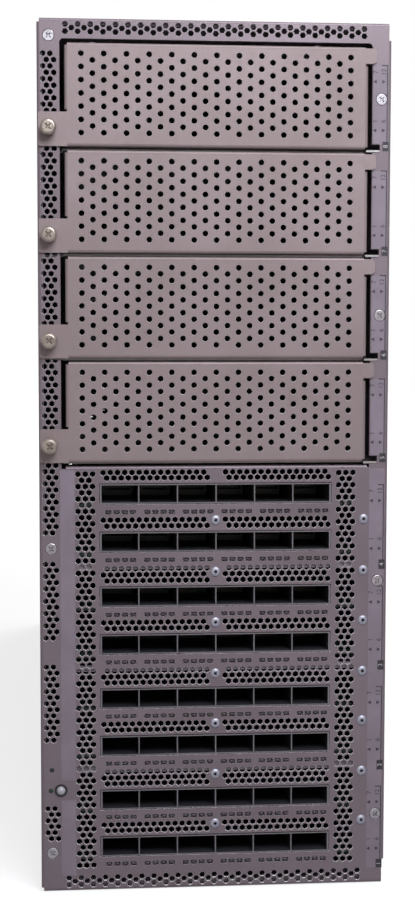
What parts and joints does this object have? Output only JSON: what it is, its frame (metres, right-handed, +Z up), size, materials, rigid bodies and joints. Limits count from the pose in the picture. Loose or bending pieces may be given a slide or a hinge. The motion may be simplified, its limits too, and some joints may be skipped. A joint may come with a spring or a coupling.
{
  "type": "modular chassis switch",
  "caption": "Four-rack-unit modular network switch stood on its side, with covered expansion slots, rows of pluggable ports, and fan trays and power supplies behind.",
  "frame": {"origin": "middle of the footprint of its bounding box, on the surface that its lower narrow side stands on", "axes": "+X from the top cover to the chassis floor, across the switch's height; +Y from the port side to the fan and power side; +Z up, across its rack width"},
  "size_m": [0.177, 0.801, 0.4394],
  "materials": {
    "bezel_paint": "satin",
    "cover_paint": "satin",
    "chassis_paint": "satin",
    "bare_steel": "satin",
    "zinc_screw": "polished",
    "thumbscrew_metal": "satin",
    "cage_metal": "satin",
    "circuit_board": "satin",
    "clear_plastic": "gloss",
    "black_plastic": "matte",
    "button_plastic": "gloss",
    "sink_aluminium": "satin",
    "latch_plastic": "satin"
  },
  "bodies": {
    "chassis": {"chassis_base": "chassis_paint", "top_cover": "chassis_paint", "front_bezel": "bezel_paint", "front_frame": "bare_steel", "faceplate_rivets": "zinc_screw", "flush_screws": "zinc_screw", "slot_dividers": "bare_steel", "card_partitions": "bare_steel", "port_cage_1": "cage_metal", "port_cage_2": "cage_metal", "port_cage_3": "cage_metal", "port_cage_4": "cage_metal", "port_cage_5": "cage_metal", "port_cage_6": "cage_metal", "port_cage_7": "cage_metal", "port_cage_8": "cage_metal", "port_card_1": "circuit_board", "port_card_2": "circuit_board", "port_card_3": "circuit_board", "port_card_4": "circuit_board", "port_card_5": "circuit_board", "port_card_6": "circuit_board", "port_card_7": "circuit_board", "port_card_8": "circuit_board", "light_pipes": "clear_plastic", "indicator_board": "circuit_board", "button_bushing": "black_plastic", "midplane": "circuit_board", "switch_board": "circuit_board", "heat_sinks": "sink_aluminium", "power_shelf": "bare_steel", "power_backplane": "circuit_board", "rear_frame": "chassis_paint", "management_module": "chassis_paint"},
    "locator_button": {"locator_button": "button_plastic"},
    "slot_cover_1": {"slot_cover_1": "cover_paint"},
    "cover_thumbscrew_1": {"cover_thumbscrew_1": "thumbscrew_metal"},
    "slot_cover_2": {"slot_cover_2": "cover_paint"},
    "cover_thumbscrew_2": {"cover_thumbscrew_2": "thumbscrew_metal"},
    "slot_cover_3": {"slot_cover_3": "cover_paint"},
    "cover_thumbscrew_3": {"cover_thumbscrew_3": "thumbscrew_metal"},
    "slot_cover_4": {"slot_cover_4": "cover_paint"},
    "cover_thumbscrew_4": {"cover_thumbscrew_4": "thumbscrew_metal"},
    "fan_tray_1": {"fan_tray_1": "chassis_paint"},
    "fan_rotor_1": {"fan_rotor_1": "black_plastic"},
    "fan_tray_2": {"fan_tray_2": "chassis_paint"},
    "fan_rotor_2": {"fan_rotor_2": "black_plastic"},
    "fan_tray_3": {"fan_tray_3": "chassis_paint"},
    "fan_rotor_3": {"fan_rotor_3": "black_plastic"},
    "fan_tray_4": {"fan_tray_4": "chassis_paint"},
    "fan_rotor_4": {"fan_rotor_4": "black_plastic"},
    "power_supply_1": {"power_supply_1": "bare_steel"},
    "power_latch_1": {"power_latch_1": "latch_plastic"},
    "power_supply_2": {"power_supply_2": "bare_steel"},
    "power_latch_2": {"power_latch_2": "latch_plastic"},
    "power_supply_3": {"power_supply_3": "bare_steel"},
    "power_latch_3": {"power_latch_3": "latch_plastic"},
    "power_supply_4": {"power_supply_4": "bare_steel"},
    "power_latch_4": {"power_latch_4": "latch_plastic"}
  },
  "joints": [
    {"name": "locator_button_press", "type": "slide", "parent": "chassis", "child": "locator_button", "axis": [0, 1, 0], "range_m": [0, 0.0015], "stiffness_N_per_m": 200, "springref_m": -0.002},
    {"name": "slot_cover_1_pull", "type": "slide", "parent": "chassis", "child": "slot_cover_1", "axis": [0, -1, 0], "range_m": [0, 0.06]},
    {"name": "cover_thumbscrew_1_turn", "type": "hinge", "parent": "slot_cover_1", "child": "cover_thumbscrew_1", "pos_m": [-0.083, -0.3915, 0.3856], "axis": [0, 1, 0], "continuous": true},
    {"name": "slot_cover_2_pull", "type": "slide", "parent": "chassis", "child": "slot_cover_2", "axis": [0, -1, 0], "range_m": [0, 0.06]},
    {"name": "cover_thumbscrew_2_turn", "type": "hinge", "parent": "slot_cover_2", "child": "cover_thumbscrew_2", "pos_m": [-0.083, -0.3915, 0.3333], "axis": [0, 1, 0], "continuous": true},
    {"name": "slot_cover_3_pull", "type": "slide", "parent": "chassis", "child": "slot_cover_3", "axis": [0, -1, 0], "range_m": [0, 0.06]},
    {"name": "cover_thumbscrew_3_turn", "type": "hinge", "parent": "slot_cover_3", "child": "cover_thumbscrew_3", "pos_m": [-0.083, -0.3915, 0.281], "axis": [0, 1, 0], "continuous": true},
    {"name": "slot_cover_4_pull", "type": "slide", "parent": "chassis", "child": "slot_cover_4", "axis": [0, -1, 0], "range_m": [0, 0.06]},
    {"name": "cover_thumbscrew_4_turn", "type": "hinge", "parent": "slot_cover_4", "child": "cover_thumbscrew_4", "pos_m": [-0.083, -0.3915, 0.2287], "axis": [0, 1, 0], "continuous": true},
    {"name": "fan_tray_1_pull", "type": "slide", "parent": "chassis", "child": "fan_tray_1", "axis": [0, 1, 0], "range_m": [0, 0.11]},
    {"name": "fan_rotor_1_spin", "type": "hinge", "parent": "fan_tray_1", "child": "fan_rotor_1", "pos_m": [-0.0274, 0.3245, 0.05785], "axis": [0, 1, 0], "continuous": true},
    {"name": "fan_tray_2_pull", "type": "slide", "parent": "chassis", "child": "fan_tray_2", "axis": [0, 1, 0], "range_m": [0, 0.11]},
    {"name": "fan_rotor_2_spin", "type": "hinge", "parent": "fan_tray_2", "child": "fan_rotor_2", "pos_m": [-0.0274, 0.3245, 0.16575], "axis": [0, 1, 0], "continuous": true},
    {"name": "fan_tray_3_pull", "type": "slide", "parent": "chassis", "child": "fan_tray_3", "axis": [0, 1, 0], "range_m": [0, 0.11]},
    {"name": "fan_rotor_3_spin", "type": "hinge", "parent": "fan_tray_3", "child": "fan_rotor_3", "pos_m": [-0.0274, 0.3245, 0.27365], "axis": [0, 1, 0], "continuous": true},
    {"name": "fan_tray_4_pull", "type": "slide", "parent": "chassis", "child": "fan_tray_4", "axis": [0, 1, 0], "range_m": [0, 0.11]},
    {"name": "fan_rotor_4_spin", "type": "hinge", "parent": "fan_tray_4", "child": "fan_rotor_4", "pos_m": [-0.0274, 0.3245, 0.38155], "axis": [0, 1, 0], "continuous": true},
    {"name": "power_supply_1_pull", "type": "slide", "parent": "chassis", "child": "power_supply_1", "axis": [0, 1, 0], "range_m": [0, 0.33]},
    {"name": "power_latch_1_squeeze", "type": "hinge", "parent": "power_supply_1", "child": "power_latch_1", "pos_m": [0.06585, 0.3485, 0.0833], "axis": [-1, 0, 0], "range_deg": [0, 8], "stiffness_Nm_per_rad": 0.05, "springref_deg": -11.46},
    {"name": "power_supply_2_pull", "type": "slide", "parent": "chassis", "child": "power_supply_2", "axis": [0, 1, 0], "range_m": [0, 0.33]},
    {"name": "power_latch_2_squeeze", "type": "hinge", "parent": "power_supply_2", "child": "power_latch_2", "pos_m": [0.06585, 0.3485, 0.1701], "axis": [-1, 0, 0], "range_deg": [0, 8], "stiffness_Nm_per_rad": 0.05, "springref_deg": -11.46},
    {"name": "power_supply_3_pull", "type": "slide", "parent": "chassis", "child": "power_supply_3", "axis": [0, 1, 0], "range_m": [0, 0.33]},
    {"name": "power_latch_3_squeeze", "type": "hinge", "parent": "power_supply_3", "child": "power_latch_3", "pos_m": [0.06585, 0.3485, 0.2569], "axis": [-1, 0, 0], "range_deg": [0, 8], "stiffness_Nm_per_rad": 0.05, "springref_deg": -11.46},
    {"name": "power_supply_4_pull", "type": "slide", "parent": "chassis", "child": "power_supply_4", "axis": [0, 1, 0], "range_m": [0, 0.33]},
    {"name": "power_latch_4_squeeze", "type": "hinge", "parent": "power_supply_4", "child": "power_latch_4", "pos_m": [0.06585, 0.3485, 0.3437], "axis": [-1, 0, 0], "range_deg": [0, 8], "stiffness_Nm_per_rad": 0.05, "springref_deg": -11.46}
  ]
}
